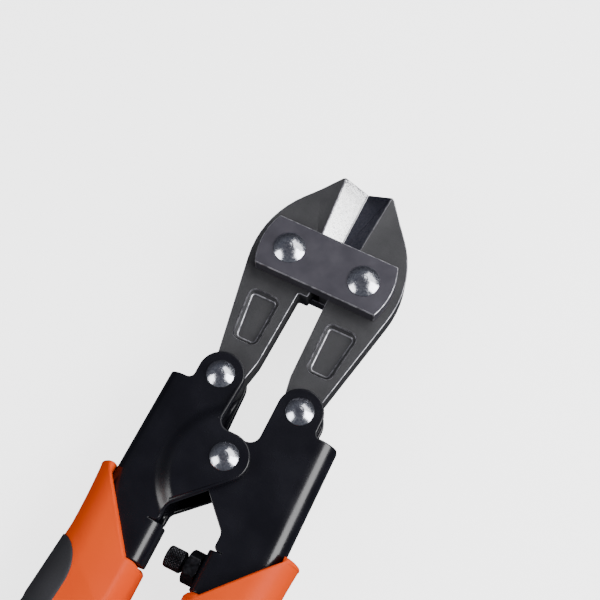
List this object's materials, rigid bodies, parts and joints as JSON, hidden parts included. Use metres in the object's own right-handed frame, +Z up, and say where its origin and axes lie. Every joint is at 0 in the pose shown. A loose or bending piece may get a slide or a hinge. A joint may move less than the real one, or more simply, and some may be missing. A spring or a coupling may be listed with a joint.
{
  "type": "bolt cutters",
  "caption": "Compact bolt cutters with compound-lever jaws between link plates, sheet-metal handles, an adjusting screw and two-tone moulded grips.",
  "frame": {"origin": "on the surface the closed tool lies on, under the middle of its length and width", "axes": "+X across the tool to the handle that carries the adjusting screw, +Y from the grips to the jaw tips, +Z up through the thickness of the tool"},
  "size_m": [0.0676, 0.207, 0.0204],
  "materials": {
    "jaw_steel": "dark grey phosphated forging",
    "plate_steel": "dark grey phosphated, blanked plate",
    "rivet_zinc": "bright plated, domed",
    "handle_enamel": "gloss black enamel",
    "spacer_steel": "plain turned steel",
    "black_oxide": "black oxide",
    "grip_orange": "satin moulded polypropylene",
    "grip_black": "matt moulded elastomer"
  },
  "bodies": {
    "head": {"front_link_plate": "plate_steel", "rear_link_plate": "plate_steel", "left_jaw_rivet": "rivet_zinc", "right_jaw_rivet": "rivet_zinc"},
    "jaw_left": {"left_jaw": "jaw_steel"},
    "jaw_right": {"right_jaw": "jaw_steel"},
    "handle_left": {"left_handle": "handle_enamel", "left_toggle_rivet": "rivet_zinc", "left_grip": "grip_orange", "left_grip_insert": "grip_black"},
    "handle_right": {"right_handle": "handle_enamel", "right_toggle_rivet": "rivet_zinc", "centre_rivet": "rivet_zinc", "centre_spacer": "spacer_steel", "threaded_bush": "black_oxide", "right_grip": "grip_orange", "right_grip_insert": "grip_black"},
    "stop_screw": {"adjusting_screw": "black_oxide"},
    "stop_nut": {"lock_nut": "black_oxide"}
  },
  "joints": [
    {"name": "left_jaw_pivot", "type": "hinge", "parent": "head", "child": "jaw_left", "pos_m": [-0.01025, 0.0782, 0.0102], "axis": [0, 0, 1], "range_deg": [0, 6.8]},
    {"name": "right_jaw_pivot", "type": "hinge", "parent": "head", "child": "jaw_right", "pos_m": [0.01025, 0.0782, 0.0102], "axis": [0, 0, 1], "range_deg": [-6.85, 0]},
    {"name": "left_handle_pivot", "type": "hinge", "parent": "jaw_left", "child": "handle_left", "pos_m": [-0.0107, 0.0418, 0.0102], "axis": [0, 0, 1], "range_deg": [-19.95, 0]},
    {"name": "right_handle_pivot", "type": "hinge", "parent": "jaw_right", "child": "handle_right", "pos_m": [0.0107, 0.0418, 0.0102], "axis": [0, 0, 1], "range_deg": [0, 19.95]},
    {"name": "screw_feed", "type": "slide", "parent": "handle_right", "child": "stop_screw", "axis": [-1, 0, 0], "range_m": [-0.0002, 0.0025]},
    {"name": "nut_spin", "type": "hinge", "parent": "handle_right", "child": "stop_nut", "pos_m": [0.0044, -0.00148, 0.0102], "axis": [1, 0, 0], "continuous": true}
  ],
  "couplings": [
    {"joint": "right_jaw_pivot", "follows": "left_jaw_pivot", "ratio": -1},
    {"joint": "left_handle_pivot", "follows": "left_jaw_pivot", "ratio": -2.915},
    {"joint": "right_handle_pivot", "follows": "left_jaw_pivot", "ratio": 2.915}
  ]
}
